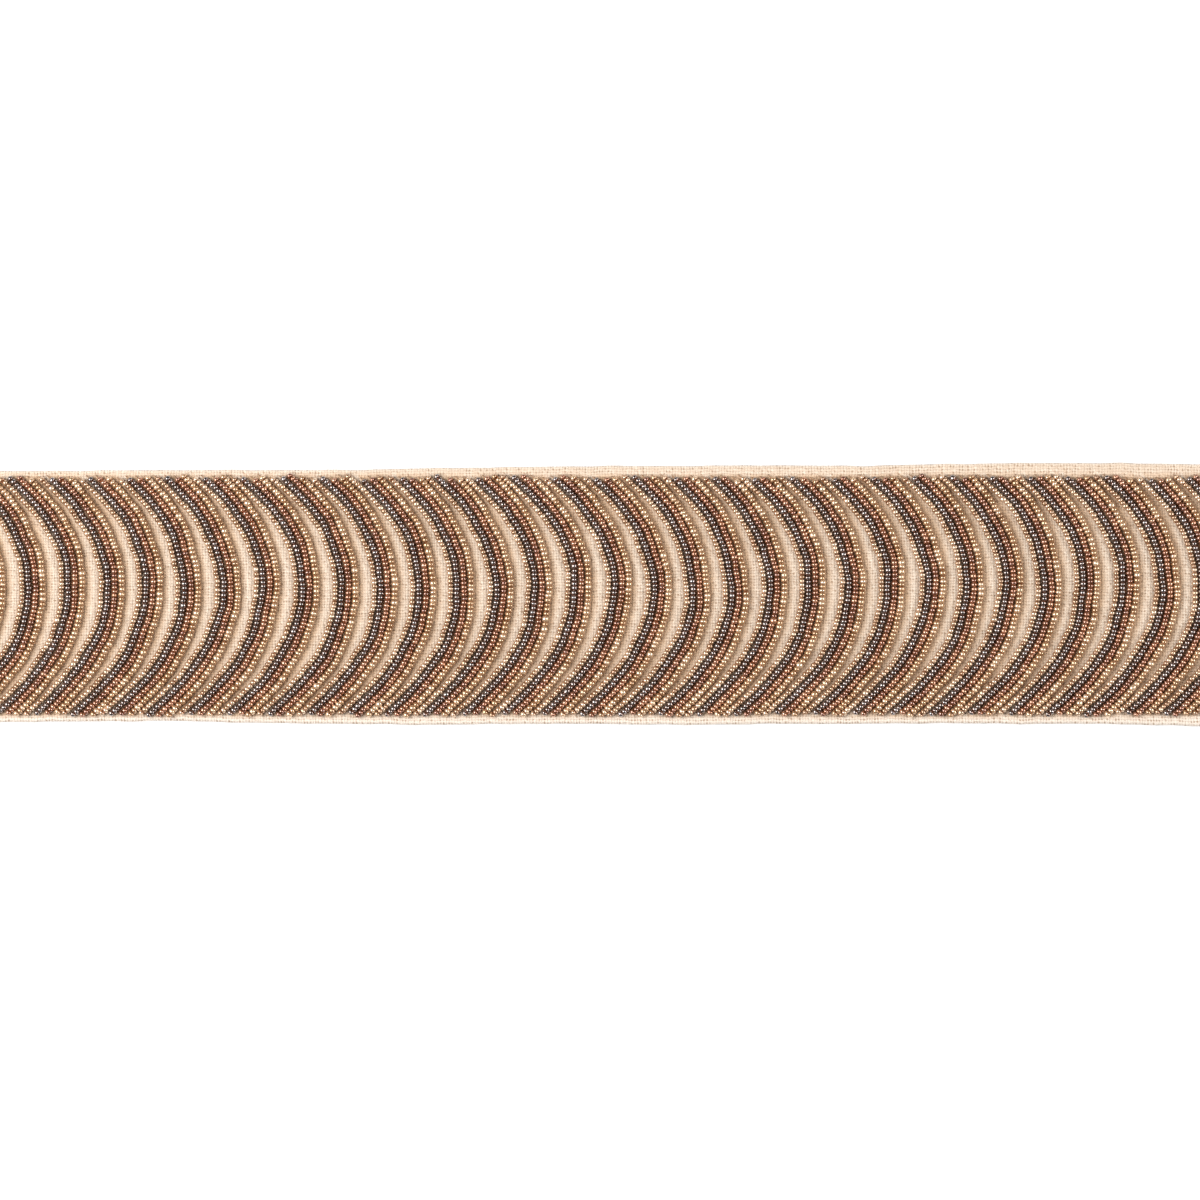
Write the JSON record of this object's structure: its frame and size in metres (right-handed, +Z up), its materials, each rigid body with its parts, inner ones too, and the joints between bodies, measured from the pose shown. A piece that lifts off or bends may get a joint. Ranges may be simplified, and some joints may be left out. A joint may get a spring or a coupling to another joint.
{
  "type": "beaded tape trim",
  "caption": "Straight linen tape with folded hems, covered by nested curved bands of strung gold, gunmetal and copper glass beads.",
  "frame": {"origin": "centre of the tape's length and width, on the surface that the hems rest on", "axes": "+X along the tape, towards the side that the bands bulge to; +Y across it, towards the upper hem; +Z up through the beads"},
  "size_m": [0.35, 0.0714, 0.0036],
  "materials": {
    "linen": "cream plain-weave linen, matt",
    "gold_beads": "warm gold metallic-lined glass beads, glossy",
    "gunmetal_beads": "near-black gunmetal lustre on glass beads, glossy",
    "copper_beads": "dark copper lustre on glass beads, glossy"
  },
  "bodies": {
    "root": {"beaded_band_01": "gold_beads", "beaded_band_02": "gold_beads", "beaded_band_03": "gold_beads", "beaded_band_04": "gold_beads", "beaded_band_05": "gold_beads", "beaded_band_06": "gold_beads", "beaded_band_07": "gold_beads", "beaded_band_08": "gold_beads", "beaded_band_09": "gold_beads", "beaded_band_10": "gold_beads", "beaded_band_11": "gold_beads", "beaded_band_12": "gold_beads", "beaded_band_13": "gold_beads", "beaded_band_14": "gold_beads", "beaded_band_15": "gold_beads", "beaded_band_16": "gold_beads", "beaded_band_17": "gold_beads", "beaded_band_18": "gold_beads", "beaded_band_19": "gold_beads", "beaded_band_20": "gold_beads", "beaded_band_21": "gold_beads", "beaded_band_22": "gold_beads", "beaded_band_23": "gold_beads", "beaded_band_24": "gold_beads", "beaded_band_25": "gold_beads", "beaded_band_26": "gold_beads", "beaded_band_27": "gold_beads", "beaded_band_28": "gold_beads", "beaded_band_29": "gold_beads", "beaded_band_30": "gold_beads", "beaded_band_31": "gold_beads", "beaded_band_32": "gold_beads", "beaded_band_33_lower": "gold_beads", "beaded_band_33_upper": "gold_beads", "beaded_band_34_lower": "gold_beads", "beaded_band_34_upper": "gold_beads", "linen_tape": "linen"}
  },
  "joints": []
}
